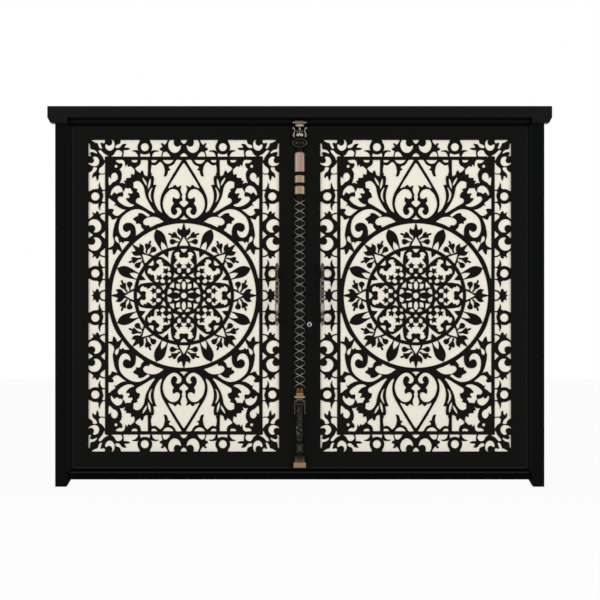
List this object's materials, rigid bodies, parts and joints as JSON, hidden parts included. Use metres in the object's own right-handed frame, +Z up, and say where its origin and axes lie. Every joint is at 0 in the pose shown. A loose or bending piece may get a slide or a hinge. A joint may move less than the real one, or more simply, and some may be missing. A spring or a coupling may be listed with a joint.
{
  "type": "laser-cut metal double door",
  "caption": "Black steel double door in a stepped frame with a cornice, laser-cut arabesque panels over an ivory backing, an ornate centre column and pull handles.",
  "frame": {"origin": "middle of the threshold's underside", "axes": "+X along the wall, -Y to the outside, which the leaves open to, +Z up"},
  "size_m": [3.18, 0.18, 2.4],
  "materials": {
    "black_steel": "satin powder coat",
    "ivory_backing": "smooth ivory enamel",
    "rose_bronze": "satin rose gold",
    "pewter": "antiqued",
    "dark_pewter": "antiqued",
    "chrome": "polished",
    "bare_steel": "zinc plated"
  },
  "bodies": {
    "frame": {"cornice": "black_steel", "frame_head": "black_steel", "head_stop": "black_steel", "jamb_left": "black_steel", "jamb_right": "black_steel", "jamb_stop_left": "black_steel", "jamb_stop_right": "black_steel", "left_pivot_pins": "bare_steel", "right_pivot_pins": "bare_steel", "threshold": "black_steel"},
    "left_leaf": {"flush_bolts": "bare_steel", "left_back_beads": "black_steel", "left_backing": "ivory_backing", "left_bottom_rail": "black_steel", "left_hinge_stile": "black_steel", "left_meeting_stile": "black_steel", "left_pivot_bushes": "bare_steel", "left_pull_grip": "dark_pewter", "left_pull_posts": "dark_pewter", "left_top_rail": "black_steel", "left_tracery": "black_steel"},
    "right_leaf": {"column_base": "rose_bronze", "column_capital": "pewter", "column_collar": "rose_bronze", "column_lower_band": "rose_bronze", "column_lower_shaft": "black_steel", "column_middle_gap": "black_steel", "column_neck": "rose_bronze", "column_ring": "black_steel", "column_shaft": "black_steel", "column_upper_band": "rose_bronze", "column_upper_gap": "black_steel", "lock_cylinder": "chrome", "lock_faceplate": "bare_steel", "right_back_beads": "black_steel", "right_backing": "ivory_backing", "right_bottom_rail": "black_steel", "right_hinge_stile": "black_steel", "right_meeting_stile": "black_steel", "right_pivot_bushes": "bare_steel", "right_pull_grip": "dark_pewter", "right_pull_posts": "dark_pewter", "right_top_rail": "black_steel", "right_tracery": "black_steel", "thumb_turn": "chrome"}
  },
  "joints": [
    {"name": "left_leaf_swing", "type": "hinge", "parent": "frame", "child": "left_leaf", "pos_m": [-1.401, -0.018, 0.0665], "axis": [0, 0, -1], "range_deg": [0, 90]},
    {"name": "right_leaf_swing", "type": "hinge", "parent": "frame", "child": "right_leaf", "pos_m": [1.401, -0.018, 0.0665], "axis": [0, 0, 1], "range_deg": [0, 90]}
  ]
}
